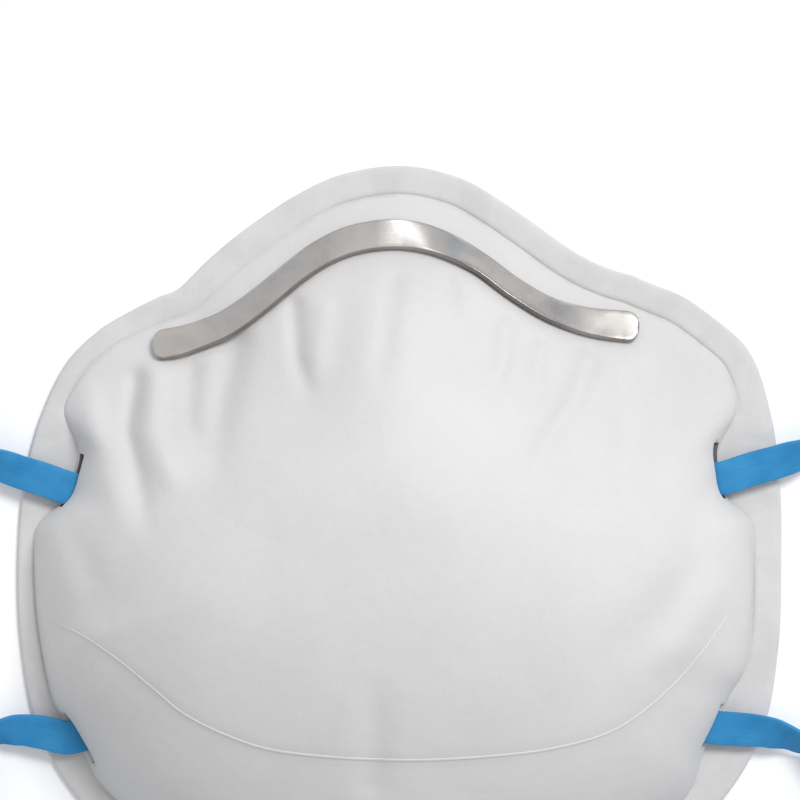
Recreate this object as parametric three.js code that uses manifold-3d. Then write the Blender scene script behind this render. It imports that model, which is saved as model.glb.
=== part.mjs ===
// Molded respirator mask, lying on its rim with the open side down.
// Millimetres. +X is the wearer's left seen from the front, +Y points to the nose, +Z out of the front.
import * as THREE from 'three';
import { mergeVertices } from 'three/addons/utils/BufferGeometryUtils.js';
import Module from 'manifold-3d';

// ---- driving dimensions -------------------------------------------------------------------------

// The outer edge of the rim: how far it reaches from the middle, at an angle above the X axis.
const RIM_ROWS = [
  { at: -90, right: 69.5, left: 69.5 },
  { at: -70, right: 70.5, left: 70.3 },
  { at: -55, right: 72.8, left: 72.4 },
  { at: -42, right: 74.5, left: 74.0 },
  { at: -29, right: 73.8, left: 73.3 },
  { at: -16, right: 70.5, left: 70.2 },
  { at: -4, right: 68.4, left: 68.2 },
  { at: 8, right: 68.6, left: 67.6 },
  { at: 18, right: 69.8, left: 67.4 },
  { at: 28, right: 70.6, left: 66.8 },
  { at: 35, right: 68.2, left: 64.7 },
  { at: 40, right: 66.3, left: 62.4 },
  { at: 45, right: 63.7, left: 60.4 },
  { at: 48, right: 62.4, left: 59.1 },
  { at: 51, right: 60.9, left: 59.2 },
  { at: 55, right: 59.8, left: 59.8 },
  { at: 60, right: 59.6, left: 60.6 },
  { at: 66, right: 60.6, left: 61.7 },
  { at: 72, right: 62.2, left: 63.2 },
  { at: 80, right: 64.7, left: 65.1 },
  { at: 90, right: 66.0, left: 66.0 },
];

const FLANGE_WIDTH = 5.2;        // flat pressed edge round the cup
const FLANGE_NARROW = { at: 174, spread: 34, by: 2.5 };  // where the left side's edge is narrower
const FLANGE_THICK = 1.2;
const WALL = 1.8;                // molded felt of the cup
const CUP_HEIGHT = 42;           // top of the cup above the rim's underside
const CROWN_START = 2.2;         // how soon the crown and the folds set in above the foot
const FOLD_START = 5;
const CROWN_EVEN = 40;           // degrees either way over which the crown evens out the rim

// How the cup rises from the flange towards the nose, a cheek and the chin.
const SIDE_ROWS = {
  nose: { wall: 1.5, run: 2.0, bulge: 0.12, power: 2.0 },
  cheek: { wall: 14, run: 4.2, bulge: 1.0, power: 2.2 },
  chin: { wall: 12, run: 4.5, bulge: 0.9, power: 2.4 },
};
const NOSE_FROM = -18;           // along Y, where the nose side's gentler rise sets in
const NOSE_FULL = 33;            // and where it is full
const CHIN_FROM = 6;             // along Y, where the chin side's rise sets in
const CHIN_FULL = -54;           // and where it is full

// The bridge of the nose: a soft ridge running down from the rim.
const BRIDGE = { y: 40, height: 7, halfWidth: 14, halfLength: 18, start: 8 };

// Soft dents and swellings of the cup: half width, height, and the line that each follows on the plan.
const FOLD_ROWS = [
  {
    name: 'left rim lobe', half: 3.2, height: 2.3,
    route: [[-56, 24.2], [-53.6, 16.2], [-50.6, 8], [-47.2, 0]],
  },
  {
    name: 'left rim groove', half: 1.7, height: -1.5,
    route: [[-46.8, 28], [-48, 18.5], [-45.6, 10], [-43.4, 0.5]],
  },
  {
    name: 'left outer lobe', half: 3, height: 2.4,
    route: [[-43.4, 28], [-43.8, 19], [-41, 12.5], [-38, 7]],
  },
  { name: 'left outer groove', half: 2, height: -1, route: [[-36.5, 29], [-36.8, 21], [-34.5, 13]] },
  {
    name: 'left inner groove', half: 3, height: -2,
    route: [[-28.8, 34], [-30.9, 24], [-32, 17], [-32.3, 8]],
  },
  { name: 'left crease', half: 1.7, height: -1.4, route: [[-18.6, 41], [-18, 32], [-15.5, 24]] },
  { name: 'left bridge ridge', half: 2.4, height: 1, route: [[-13.6, 40], [-15, 26]] },
  { name: 'middle groove', half: 2.2, height: -1, route: [[-1, 45], [-2.3, 35], [-4, 26]] },
  { name: 'bridge line', half: 1.8, height: -0.7, route: [[8.7, 45], [9.3, 38]] },
  { name: 'right inner groove', half: 1.8, height: -1.5, route: [[19, 37], [18, 30], [15, 25]] },
  { name: 'right middle groove', half: 1.8, height: -1.3, route: [[25, 33], [23.5, 26]] },
  { name: 'right outer groove', half: 2, height: -1.6, route: [[33.5, 31], [30.5, 24], [25, 16], [21, 7]] },
  { name: 'right cheek dent', half: 6, height: -1.2, route: [[32, 17], [30, 2]] },
  { name: 'right outer lobe', half: 3.8, height: 2.2, route: [[40, 28], [41, 18], [39.5, 7]] },
  {
    name: 'right seam dent', half: 4.2, height: -1.8,
    route: [[53, 4], [51.5, -6], [45, -14.5], [37, -21]],
  },
  { name: 'right seam lobe', half: 3.6, height: 1.5, route: [[55.5, -9], [49.5, -17.5], [43.5, -24]] },
  { name: 'left rim dent', half: 3.2, height: -1.1, route: [[-58, 1], [-52, -11]] },
  { name: 'left cheek dent', half: 12, height: -2.8, route: [[-60, -4], [-55, -18]] },
  { name: 'left cheek swell', half: 13, height: 1.6, route: [[-36, -24], [-33, -14], [-26, 2]] },
  { name: 'chin dent', half: 3, height: -1.1, route: [[-4.8, -42], [-4.4, -34], [-3.4, -22]] },
];

const FOLD_TAIL = 0.45;          // share of a fold's length over which its lower end dies away

// The seam: the front of the cup stands a little proud of the chin panel below this line.
const SEAM_ROWS = [
  { x: -62.1, y: -14.6 },
  { x: -55.4, y: -17 },
  { x: -49.1, y: -20.8 },
  { x: -42.4, y: -26 },
  { x: -37.3, y: -30.1 },
  { x: -29.4, y: -34 },
  { x: -22.5, y: -36.2 },
  { x: -10.2, y: -37.6 },
  { x: 1.9, y: -38 },
  { x: 14, y: -37.5 },
  { x: 27, y: -36.1 },
  { x: 37.7, y: -33 },
  { x: 46.5, y: -26.7 },
  { x: 53, y: -19.8 },
  { x: 57.7, y: -13.6 },
];
const SEAM_STEP = 0.5;
const SEAM_SOFT = 2.4;

// Where each strap goes through the wall, and how far the wall's foot is drawn in there: by pad at
// the angle padAt, fading over spread degrees either way.
const STRAP_WIDTH = 6;
const STRAP_THICK = 0.8;
const SLIT_HEIGHT = 1.9;
const SLIT_MIDDLE_Z = 3.35;
const SLIT_ROWS = [
  { name: 'upper right', x: 56.8, y: 11.6, turn: 6, long: 10, pad: 5.3, padAt: 11.5, spread: 7.3 },
  { name: 'upper left', x: -57.9, y: 9.8, turn: 167, long: 10, pad: 5.8, padAt: 169, spread: 7.5 },
  { name: 'lower right', x: 55.6, y: -34, turn: -12, long: 8.6, pad: 2.8, padAt: -31, spread: 8 },
  { name: 'lower left', x: -58.4, y: -36.3, turn: 194, long: 9.8, pad: 1.2, padAt: 212.5, spread: 4.6 },
];

// The nose clip's middle line on the plan, and how much higher the felt lies inside it than outside.
const CLIP_ROWS = [
  { x: -43.4, y: 33.4, press: 0 },
  { x: -38, y: 34.3, press: 0 },
  { x: -31, y: 36.8, press: 0.3 },
  { x: -26.4, y: 39.7, press: 0.6 },
  { x: -22, y: 43.1, press: 0.8 },
  { x: -17.5, y: 46.8, press: 0.8 },
  { x: -13.2, y: 49.8, press: 0 },
  { x: -8, y: 52.1, press: -1.2 },
  { x: 0, y: 53.1, press: -1.8 },
  { x: 6.5, y: 51.6, press: 0 },
  { x: 13.4, y: 48, press: 3 },
  { x: 20, y: 43.2, press: 3.2 },
  { x: 26.5, y: 39.5, press: 2.4 },
  { x: 33, y: 37.6, press: 0.8 },
  { x: 42.4, y: 36.7, press: 0 },
];
const CLIP_WIDTH = 5.8;
const CLIP_THICK = 0.9;
const CLIP_END_ROUND = 1.6;
const CLIP_PRESS_NEAR = 4;       // how far either side of the clip that step sets in
const CLIP_PRESS_FAR = 22;       // and how far inside the clip it is gone again
const GAP = 0.3;                 // clearance between pieces that touch
const CLIP_LIFT = 0.3;           // the stiff clip bridges the felt's small hollows

// The straps' routes on the surface: lean turns the band from lying flat (0) to standing on edge (90).
const UPPER_ROUTE = [
  { x: 57.6, y: 10.3, z: 3.3, lean: 0 },
  { x: 62.7, y: 11.9, z: 3.5, lean: 3 },
  { x: 68, y: 13.4, z: 3.7, lean: 12 },
  { x: 73.4, y: 15.4, z: 3.8, lean: 40 },
  { x: 78.4, y: 19, z: 3.7, lean: 76 },
  { x: 81.6, y: 25.4, z: 3.6, lean: 90 },
  { x: 83, y: 36, z: 3.5, lean: 90 },
  { x: 83.2, y: 52, z: 3.4, lean: 90 },
  { x: 82.6, y: 70, z: 3.4, lean: 90 },
  { x: 80.8, y: 88, z: 3.4, lean: 90 },
  { x: 75, y: 102.6, z: 3.4, lean: 90 },
  { x: 60, y: 111.8, z: 3.4, lean: 90 },
  { x: 38, y: 115.4, z: 3.4, lean: 90 },
  { x: 14, y: 116.6, z: 3.4, lean: 90 },
  { x: -10, y: 116.4, z: 3.4, lean: 90 },
  { x: -36, y: 115, z: 3.4, lean: 90 },
  { x: -58.6, y: 111.2, z: 3.4, lean: 90 },
  { x: -74, y: 102, z: 3.4, lean: 90 },
  { x: -80.2, y: 87, z: 3.4, lean: 90 },
  { x: -82.2, y: 68, z: 3.4, lean: 90 },
  { x: -83, y: 50, z: 3.4, lean: 90 },
  { x: -83, y: 34, z: 3.5, lean: 90 },
  { x: -81.6, y: 24.4, z: 3.6, lean: 90 },
  { x: -78.6, y: 18, z: 3.7, lean: 76 },
  { x: -73.8, y: 14, z: 3.8, lean: 40 },
  { x: -68.6, y: 11.8, z: 3.7, lean: 12 },
  { x: -63.4, y: 10.1, z: 3.5, lean: 3 },
  { x: -58.8, y: 8.5, z: 3.3, lean: 0 },
];
const LOWER_ROUTE = [
  { x: 55.6, y: -34, z: 3.35, lean: 0 },
  { x: 60.6, y: -34.4, z: 3.5, lean: 6 },
  { x: 65.6, y: -34.9, z: 3.8, lean: 24 },
  { x: 70.4, y: -36.3, z: 4, lean: 50 },
  { x: 74.3, y: -39.1, z: 3.9, lean: 74 },
  { x: 76.9, y: -43.6, z: 3.6, lean: 88 },
  { x: 78, y: -50, z: 3.4, lean: 90 },
  { x: 77.9, y: -60, z: 3.4, lean: 90 },
  { x: 74.6, y: -70.6, z: 3.4, lean: 90 },
  { x: 66, y: -80, z: 3.4, lean: 90 },
  { x: 52, y: -87, z: 3.4, lean: 90 },
  { x: 28, y: -91.6, z: 3.4, lean: 90 },
  { x: 8, y: -92.6, z: 3.4, lean: 90 },
  { x: -12, y: -92.4, z: 3.4, lean: 90 },
  { x: -32, y: -90.8, z: 3.4, lean: 90 },
  { x: -52, y: -86.6, z: 3.4, lean: 90 },
  { x: -66, y: -79.6, z: 3.4, lean: 90 },
  { x: -74.8, y: -70.2, z: 3.4, lean: 90 },
  { x: -78.2, y: -59.6, z: 3.4, lean: 90 },
  { x: -78.6, y: -49.6, z: 3.4, lean: 90 },
  { x: -77.9, y: -42.4, z: 3.6, lean: 88 },
  { x: -75.6, y: -37.6, z: 3.9, lean: 74 },
  { x: -72, y: -35.2, z: 4, lean: 50 },
  { x: -67.6, y: -34.5, z: 3.8, lean: 24 },
  { x: -63.2, y: -35, z: 3.5, lean: 6 },
  { x: -59, y: -35.9, z: 3.35, lean: 0 },
];
// Inside the cup each strap end turns up against the wall: inward of the slit, and above it.
const TAIL_ROWS = [
  { inward: 4.2, up: -0.1 },
  { inward: 6.6, up: 0.6 },
  { inward: 8.6, up: 2.4 },
];

const AROUND = 96;               // points round the rim
const RINGS = 20;                // rings from the flange to the top of the cup
const RINGS_EVEN = 1.5;          // powers that crowd the rings towards the steep wall,
const RINGS_CROWDED = 2.6;       // and the share of the stronger one
const CROWDED_SHARE = 0.35;
const ANGLE_STEP = 0.01;         // radians either way, for the rim's direction
const SLOPE_STEP = 0.4;          // millimetres either way, for the surface's slope
const CLIP_STEPS = 44;
const CLIP_END_CROWD = 0.35;     // how far the clip's stations crowd towards its round ends
const STRAP_STEPS = 80;

const WHITE_FELT = { color: 0xe9e9e8, roughness: 0.95, metalness: 0 };
const ALUMINIUM = { color: 0xb3b0ac, roughness: 0.38, metalness: 0.9 };
const BLUE_ELASTIC = { color: 0x3a87c4, roughness: 0.6, metalness: 0 };

// ---- the cup's surface ----------------------------------------------------------------------------

const rad = THREE.MathUtils.degToRad;
const deg = THREE.MathUtils.radToDeg;

// A value between two rows' values, on a curve through all of them.
function catmullRom(a, b, c, d, t) {
  return 0.5 * (2 * b + (c - a) * t + (2 * a - 5 * b + 4 * c - d) * t * t
    + (3 * b - a - 3 * c + d) * t * t * t);
}

// The rim's reach at an angle, from the rows of its own side.
function rimReach(angle) {
  const side = Math.cos(angle) >= 0 ? 'right' : 'left';
  const at = deg(Math.asin(Math.sin(angle)));
  const last = RIM_ROWS.length - 1;
  let i = 0;
  while (i < last - 1 && RIM_ROWS[i + 1].at < at) {
    i += 1;
  }
  const value = (k) => RIM_ROWS[k < 0 ? 1 : k > last ? last - 1 : k][side];
  const t = (at - RIM_ROWS[i].at) / (RIM_ROWS[i + 1].at - RIM_ROWS[i].at);
  return catmullRom(value(i - 1), value(i), value(i + 1), value(i + 2), t);
}

function rimPoint(angle) {
  const reach = rimReach(angle);
  return new THREE.Vector2(reach * Math.cos(angle), reach * Math.sin(angle));
}

// The angle between two directions, in degrees from -180 to 180.
function turnBetween(a, b) {
  return THREE.MathUtils.euclideanModulo(a - b + 180, 360) - 180;
}

// How far the cup's foot is drawn in beside the slits, at an angle in degrees.
function padDepth(angleDeg) {
  let depth = 0;
  for (const slit of SLIT_ROWS) {
    const away = turnBetween(angleDeg, slit.padAt) / slit.spread;
    depth += slit.pad * Math.exp(-(away ** 4));
  }
  return depth;
}

// The flange's width at an angle of the rim.
function flangeWidth(angle) {
  const away = turnBetween(deg(angle), FLANGE_NARROW.at) / FLANGE_NARROW.spread;
  return FLANGE_WIDTH - FLANGE_NARROW.by * Math.exp(-(away ** 2));
}

// The cup's foot, where the wall meets the flange: the rim moved in by the flange's width.
const FOOT_SAMPLES = 720;
const FOOT = [];
for (let i = 0; i < FOOT_SAMPLES; i += 1) {
  const angle = (i / FOOT_SAMPLES) * 2 * Math.PI;
  const here = rimPoint(angle);
  const along = rimPoint(angle + ANGLE_STEP).sub(rimPoint(angle - ANGLE_STEP)).normalize();
  const inward = new THREE.Vector2(-along.y, along.x);
  here.addScaledVector(inward, flangeWidth(angle));
  FOOT.push({ angle: Math.atan2(here.y, here.x), reach: here.length() });
}
FOOT.sort((a, b) => a.angle - b.angle);

// The foot's reach at an angle, before it is drawn in at the slits.
function plainReach(angle) {
  const at = Math.atan2(Math.sin(angle), Math.cos(angle));
  const count = FOOT.length;
  let low = 0;
  let high = count;
  while (low < high) {
    const middle = Math.floor((low + high) / 2);
    if (FOOT[middle].angle > at) {
      high = middle;
    } else {
      low = middle + 1;
    }
  }
  const a = FOOT[(low + count - 1) % count];
  const b = FOOT[low % count];
  const span = (b.angle - a.angle + 2 * Math.PI) % (2 * Math.PI);
  const t = ((at - a.angle + 2 * Math.PI) % (2 * Math.PI)) / span;
  return a.reach + (b.reach - a.reach) * t;
}

function footReach(angle) {
  return plainReach(angle) - padDepth(deg(angle));
}

// The crown's reach: the foot's with its notches evened out, so that they fade towards the top.
const CROWN_SAMPLES = 180;
const CROWN = [];
for (let i = 0; i < CROWN_SAMPLES; i += 1) {
  const middle = (i / CROWN_SAMPLES) * 2 * Math.PI;
  let sum = 0;
  let weights = 0;
  for (let away = -CROWN_EVEN; away <= CROWN_EVEN; away += 4) {
    const weight = 1 + Math.cos((Math.PI * away) / CROWN_EVEN);
    sum += weight * plainReach(middle + rad(away));
    weights += weight;
  }
  CROWN.push(sum / weights);
}

function crownReach(angle) {
  const at = (THREE.MathUtils.euclideanModulo(angle, 2 * Math.PI) / (2 * Math.PI)) * CROWN_SAMPLES;
  const i = Math.floor(at);
  const a = CROWN[i % CROWN_SAMPLES];
  const b = CROWN[(i + 1) % CROWN_SAMPLES];
  return a + (b - a) * (at - i);
}

// One of the side rows' numbers at a height on the plan, blended from chin to nose.
function sideValue(name, y) {
  const nose = THREE.MathUtils.smootherstep(y, NOSE_FROM, NOSE_FULL);
  const chin = THREE.MathUtils.smootherstep(-y, -CHIN_FROM, -CHIN_FULL);
  return SIDE_ROWS.nose[name] * nose + SIDE_ROWS.chin[name] * chin
    + SIDE_ROWS.cheek[name] * (1 - nose - chin);
}

// A column's value between rows, on a curve through all of them, level past both ends.
function smoothRows(rows, key, x) {
  const last = rows.length - 1;
  let i = 0;
  while (i < last - 1 && rows[i + 1].x < x) {
    i += 1;
  }
  const slope = (k) => (k <= 0 || k >= last ? 0
    : (rows[k + 1][key] - rows[k - 1][key]) / (rows[k + 1].x - rows[k - 1].x));
  const span = rows[i + 1].x - rows[i].x;
  const t = Math.min(1, Math.max(0, (x - rows[i].x) / span));
  return (1 + 2 * t) * (1 - t) ** 2 * rows[i][key] + t * (1 - t) ** 2 * span * slope(i)
    + t * t * (3 - 2 * t) * rows[i + 1][key] + t * t * (t - 1) * span * slope(i + 1);
}

// How far a point lies from a route of straight stretches, and where along it that is.
function nearest(x, y, route) {
  let best = { away: Infinity, place: 0 };
  for (let i = 0; i + 1 < route.length; i += 1) {
    const [x0, y0] = route[i];
    const dx = route[i + 1][0] - x0;
    const dy = route[i + 1][1] - y0;
    const t = ((x - x0) * dx + (y - y0) * dy) / (dx * dx + dy * dy);
    const held = Math.min(1, Math.max(0, t));
    const away = Math.hypot(x - x0 - held * dx, y - y0 - held * dy);
    if (away < best.away) {
      best = { away, place: i + held };
    }
  }
  return best;
}

// The step in the felt under the clip, which is gone again further in.
function clipPress(x, y) {
  const slope = (smoothRows(CLIP_ROWS, 'y', x + 1) - smoothRows(CLIP_ROWS, 'y', x - 1)) / 2;
  const inward = (smoothRows(CLIP_ROWS, 'y', x) - y) / Math.hypot(1, slope);
  const rise = THREE.MathUtils.smoothstep(inward, -CLIP_PRESS_NEAR, CLIP_PRESS_NEAR);
  const fall = THREE.MathUtils.smoothstep(inward, CLIP_PRESS_NEAR, CLIP_PRESS_FAR);
  return smoothRows(CLIP_ROWS, 'press', x) * rise * (1 - fall);
}

// A fold's share of its full height at a point: full along its line, dying away at its lower end.
function foldShare(x, y, row) {
  const { away, place } = nearest(x, y, row.route);
  const left = 1 - place / (row.route.length - 1);
  return Math.exp(-((away / row.half) ** 2)) * THREE.MathUtils.smoothstep(left, -0.1, FOLD_TAIL);
}

// How far inside the cup's foot a point of the plan lies.
function insideFoot(x, y) {
  return Math.max(0, footReach(Math.atan2(y, x)) - Math.hypot(x, y));
}

// The height of the cup's outer face over the plan, without its folds.
function smoothHeight(x, y) {
  const angle = Math.atan2(y, x);
  const inward = insideFoot(x, y);
  const share = Math.min(1, Math.hypot(x, y) / crownReach(angle));
  const wall = sideValue('wall', y);
  const rise = wall * (1 - Math.exp(-inward / sideValue('run', y)));
  const dome = 1 - share ** sideValue('power', y);
  const swell = Math.cos(share * Math.PI / 2) ** 2;
  const bulge = sideValue('bulge', y);
  const crown = (CUP_HEIGHT - FLANGE_THICK - wall) * (bulge * dome + (1 - bulge) * swell);
  const bridge = BRIDGE.height * Math.exp(-((x / BRIDGE.halfWidth) ** 2))
    * Math.exp(-(((y - BRIDGE.y) / BRIDGE.halfLength) ** 2))
    * (1 - Math.exp(-inward / BRIDGE.start));
  const press = clipPress(x, y) * (1 - Math.exp(-inward / FOLD_START));
  return FLANGE_THICK + rise + crown * (1 - Math.exp(-inward / CROWN_START)) + bridge + press;
}

// The same height with the folds and the step at the seam.
function cupHeight(x, y) {
  const fade = 1 - Math.exp(-insideFoot(x, y) / FOLD_START);
  let height = smoothHeight(x, y);
  for (const row of FOLD_ROWS) {
    height += row.height * foldShare(x, y, row) * fade;
  }
  const below = 1 / (1 + Math.exp((y - smoothRows(SEAM_ROWS, 'y', x)) / (SEAM_SOFT / 4)));
  return height - SEAM_STEP * below * fade;
}

// The outward direction of a height field at a point.
function normalOf(height, x, y) {
  const slopeX = (height(x + SLOPE_STEP, y) - height(x - SLOPE_STEP, y)) / (2 * SLOPE_STEP);
  const slopeY = (height(x, y + SLOPE_STEP) - height(x, y - SLOPE_STEP)) / (2 * SLOPE_STEP);
  return new THREE.Vector3(-slopeX, -slopeY, 1).normalize();
}

// ---- the shell ------------------------------------------------------------------------------------

// Rings of points from the foot (share 1) to just short of the top, close together where the wall is steep.
function ringShare(ring) {
  const t = ring / RINGS;
  return 1 - CROWDED_SHARE * t ** RINGS_CROWDED - (1 - CROWDED_SHARE) * t ** RINGS_EVEN;
}

// Two rings of points joined by triangles that face out when the second lies to the left of the first.
function joinRings(index, first, second) {
  for (let k = 0; k < AROUND; k += 1) {
    const next = (k + 1) % AROUND;
    index.push(first + k, first + next, second + next);
    index.push(first + k, second + next, second + k);
  }
}

function shellMesh() {
  const rings = [];
  const ring = (pointAt) => {
    const points = [];
    for (let k = 0; k < AROUND; k += 1) {
      points.push(pointAt((k / AROUND) * 2 * Math.PI));
    }
    rings.push(points);
  };
  const flat = (angle, reach, z) => new THREE.Vector3(
    reach * Math.cos(angle), reach * Math.sin(angle), z);
  const outer = (share) => (angle) => {
    const point = flat(angle, footReach(angle) * share, 0);
    point.z = cupHeight(point.x, point.y);
    return point;
  };
  const inner = (share) => (angle) => {
    const point = outer(share)(angle);
    const normal = normalOf(cupHeight, point.x, point.y);
    point.addScaledVector(normal, -WALL);
    return point;
  };
  ring((angle) => flat(angle, footReach(angle) - WALL, 0));
  ring((angle) => flat(angle, rimReach(angle), 0));
  ring((angle) => flat(angle, rimReach(angle), FLANGE_THICK));
  ring((angle) => flat(angle, footReach(angle), FLANGE_THICK));
  for (let i = 1; i < RINGS; i += 1) {
    ring(outer(ringShare(i)));
  }
  const outside = rings.length;
  for (let i = RINGS - 1; i >= 2; i -= 1) {
    ring(inner(ringShare(i)));
  }
  const points = rings.flat();
  const index = [];
  for (let i = 0; i < rings.length; i += 1) {
    if (i !== outside - 1) {
      joinRings(index, i * AROUND, ((i + 1) % rings.length) * AROUND);
    }
  }
  const top = points.length;
  points.push(new THREE.Vector3(0, 0, cupHeight(0, 0)));
  points.push(new THREE.Vector3(0, 0, cupHeight(0, 0) - WALL));
  for (let k = 0; k < AROUND; k += 1) {
    const next = (k + 1) % AROUND;
    index.push((outside - 1) * AROUND + k, (outside - 1) * AROUND + next, top);
    index.push(outside * AROUND + next, outside * AROUND + k, top + 1);
  }
  return { points, index };
}

// ---- bands: the clip and the straps -----------------------------------------------------------------

// The corners of a band's section: across its width and through its thickness, edges rounded.
const BAND_CORNERS = [
  { across: 0.5, out: -0.22 },
  { across: 0.5, out: 0.22 },
  { across: 0.44, out: 0.5 },
  { across: -0.44, out: 0.5 },
  { across: -0.5, out: 0.22 },
  { across: -0.5, out: -0.22 },
  { across: -0.44, out: -0.5 },
  { across: 0.44, out: -0.5 },
];

// A closed band through stations, each with a point, a direction across and one out of its face.
function bandMesh(stations, width, thick) {
  const count = BAND_CORNERS.length;
  const points = [];
  const index = [];
  for (const station of stations) {
    for (const corner of BAND_CORNERS) {
      points.push(station.point.clone()
        .addScaledVector(station.across, corner.across * width * (station.narrow ?? 1))
        .addScaledVector(station.out, corner.out * thick));
    }
  }
  for (let i = 0; i + 1 < stations.length; i += 1) {
    for (let k = 0; k < count; k += 1) {
      const next = (k + 1) % count;
      const a = i * count;
      const b = a + count;
      index.push(a + k, a + next, b + next);
      index.push(a + k, b + next, b + k);
    }
  }
  const last = (stations.length - 1) * count;
  for (let k = 1; k + 1 < count; k += 1) {
    index.push(0, k + 1, k);
    index.push(last, last + k, last + k + 1);
  }
  return { points, index };
}

function clipStations() {
  const plan = new THREE.CatmullRomCurve3(
    CLIP_ROWS.map((row) => new THREE.Vector3(row.x, row.y, 0)), false, 'centripetal');
  const length = plan.getLength();
  const stations = [];
  for (let i = 0; i <= CLIP_STEPS; i += 1) {
    const even = i / CLIP_STEPS;
    const crowded = 0.5 - 0.5 * Math.cos(even * Math.PI);
    const at = THREE.MathUtils.lerp(even, crowded, CLIP_END_CROWD);
    const place = plan.getPointAt(at);
    const along = plan.getTangentAt(at);
    const out = normalOf(smoothHeight, place.x, place.y);
    const point = new THREE.Vector3(place.x, place.y, smoothHeight(place.x, place.y));
    point.addScaledVector(out, GAP + CLIP_LIFT + CLIP_THICK / 2);
    const across = new THREE.Vector3().crossVectors(out, along).normalize();
    const fromEnd = Math.min(at, 1 - at) * length;
    const corner = Math.max(0, 1 - fromEnd / CLIP_END_ROUND);
    const narrow = 1 - (2 * CLIP_END_ROUND / CLIP_WIDTH) * (1 - Math.sqrt(1 - corner * corner));
    stations.push({ point, across, out, narrow });
  }
  return stations;
}

// The tail's points inside the wall, the way its slit faces, the nearest first.
function tailPoints(end, turn) {
  const inward = new THREE.Vector3(-Math.cos(rad(turn)), -Math.sin(rad(turn)), 0);
  return TAIL_ROWS.map((row) => {
    const point = end.clone().addScaledVector(inward, row.inward);
    point.z += row.up;
    return point;
  });
}

// A strap's stations: its route, its tails, and the lean that goes with each point.
function strapStations(route, startSlit, endSlit) {
  const middle = route.map((row) => new THREE.Vector3(row.x, row.y, row.z));
  const start = tailPoints(middle[0], startSlit.turn).reverse();
  const end = tailPoints(middle[middle.length - 1], endSlit.turn);
  const points = [...start, ...middle, ...end];
  const leans = [
    ...start.map(() => route[0].lean),
    ...route.map((row) => row.lean),
    ...end.map(() => route[route.length - 1].lean),
  ];
  const curve = new THREE.CatmullRomCurve3(points, false, 'centripetal');
  const stations = [];
  const up = new THREE.Vector3(0, 0, 1);
  const spans = points.length - 1;
  for (let i = 0; i <= STRAP_STEPS; i += 1) {
    const at = curve.getUtoTmapping(i / STRAP_STEPS);
    const along = curve.getTangent(at).normalize();
    const span = Math.min(spans - 1, Math.floor(at * spans));
    const t = at * spans - span;
    const ease = t * t * (3 - 2 * t);
    const lean = rad(leans[span] + (leans[span + 1] - leans[span]) * ease);
    const side = new THREE.Vector3().crossVectors(up, along).normalize();
    const out = new THREE.Vector3().crossVectors(along, side).normalize();
    stations.push({
      point: curve.getPoint(at),
      across: side.clone().applyAxisAngle(along, lean),
      out: out.clone().applyAxisAngle(along, lean),
    });
  }
  return stations;
}

// ---- solids and the assembly --------------------------------------------------------------------------

const CUTTER_REACH = 6.6;        // half length of a slit cutter, through the wall

const wasm = await Module();
wasm.setup();

function toManifold(vertices, triangles) {
  return new wasm.Manifold(new wasm.Mesh({
    numProp: 3,
    vertProperties: new Float32Array(vertices),
    triVerts: new Uint32Array(triangles),
  }));
}

function solidOf({ points, index }) {
  return toManifold(points.flatMap((p) => [p.x, p.y, p.z]), index);
}

function geometryOf(solid) {
  const mesh = solid.getMesh();
  const geometry = new THREE.BufferGeometry();
  geometry.setAttribute('position', new THREE.BufferAttribute(mesh.vertProperties, 3));
  geometry.setIndex(new THREE.BufferAttribute(mesh.triVerts, 1));
  geometry.computeVertexNormals();
  return geometry;
}

// A block through the wall, as long and as high as a slit.
function slitCutter(slit) {
  const block = new THREE.BoxGeometry(2 * CUTTER_REACH, slit.long, SLIT_HEIGHT);
  block.rotateZ(rad(slit.turn));
  block.translate(slit.x, slit.y, SLIT_MIDDLE_Z);
  block.deleteAttribute('normal');
  block.deleteAttribute('uv');
  const merged = mergeVertices(block);
  return toManifold(merged.attributes.position.array, merged.index.array);
}

function part(name, geometry, material) {
  const mesh = new THREE.Mesh(geometry, new THREE.MeshStandardMaterial(material));
  mesh.name = name;
  return mesh;
}

let shell = solidOf(shellMesh());
for (const slit of SLIT_ROWS) {
  shell = shell.subtract(slitCutter(slit));
}
const clip = solidOf(bandMesh(clipStations(), CLIP_WIDTH, CLIP_THICK));
const [UPPER_RIGHT, UPPER_LEFT, LOWER_RIGHT, LOWER_LEFT] = SLIT_ROWS;
const upperStations = strapStations(UPPER_ROUTE, UPPER_RIGHT, UPPER_LEFT);
const upper = solidOf(bandMesh(upperStations, STRAP_WIDTH, STRAP_THICK));
const lowerStations = strapStations(LOWER_ROUTE, LOWER_RIGHT, LOWER_LEFT);
const lower = solidOf(bandMesh(lowerStations, STRAP_WIDTH, STRAP_THICK));

const mask = new THREE.Group();
mask.name = 'respirator_mask';
mask.add(part('shell', geometryOf(shell), WHITE_FELT));
mask.add(part('nose_clip', geometryOf(clip), ALUMINIUM));
mask.add(part('strap_upper', geometryOf(upper), BLUE_ELASTIC));
mask.add(part('strap_lower', geometryOf(lower), BLUE_ELASTIC));

// The frame's origin is under the middle of the shell.
const box = new THREE.Box3().setFromObject(mask.getObjectByName('shell'));
mask.position.set(-(box.min.x + box.max.x) / 2, -(box.min.y + box.max.y) / 2, 0);

export default mask;
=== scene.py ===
import math

import bmesh
import bpy
import numpy as np
from mathutils import Matrix, Vector


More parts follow.
